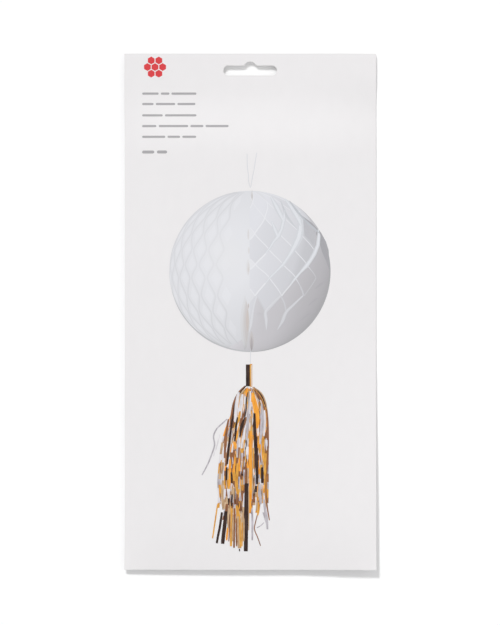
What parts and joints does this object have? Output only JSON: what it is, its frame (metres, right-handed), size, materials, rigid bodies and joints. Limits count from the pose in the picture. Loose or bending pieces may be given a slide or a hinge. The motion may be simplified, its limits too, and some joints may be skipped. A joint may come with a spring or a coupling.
{
  "type": "flat card retail pack with hanging slot",
  "caption": "Flat sealed card wallet for a folded honeycomb paper decoration, with a punched hanging slot in its glued header and a closing flap on the back.",
  "frame": {"origin": "centre of the pack's outline, on the surface that its back rests on", "axes": "+Z out of the printed front, +Y along the pack's height towards the hanging slot, +X to the right as the front is read"},
  "size_m": [0.165, 0.338, 0.0063],
  "materials": {
    "coated_board": "satin",
    "print_tissue": "satin",
    "print_foil": "satin",
    "print_grey": "satin",
    "print_red": "satin"
  },
  "bodies": {
    "root": {"card_wallet": "coated_board"}
  },
  "joints": []
}
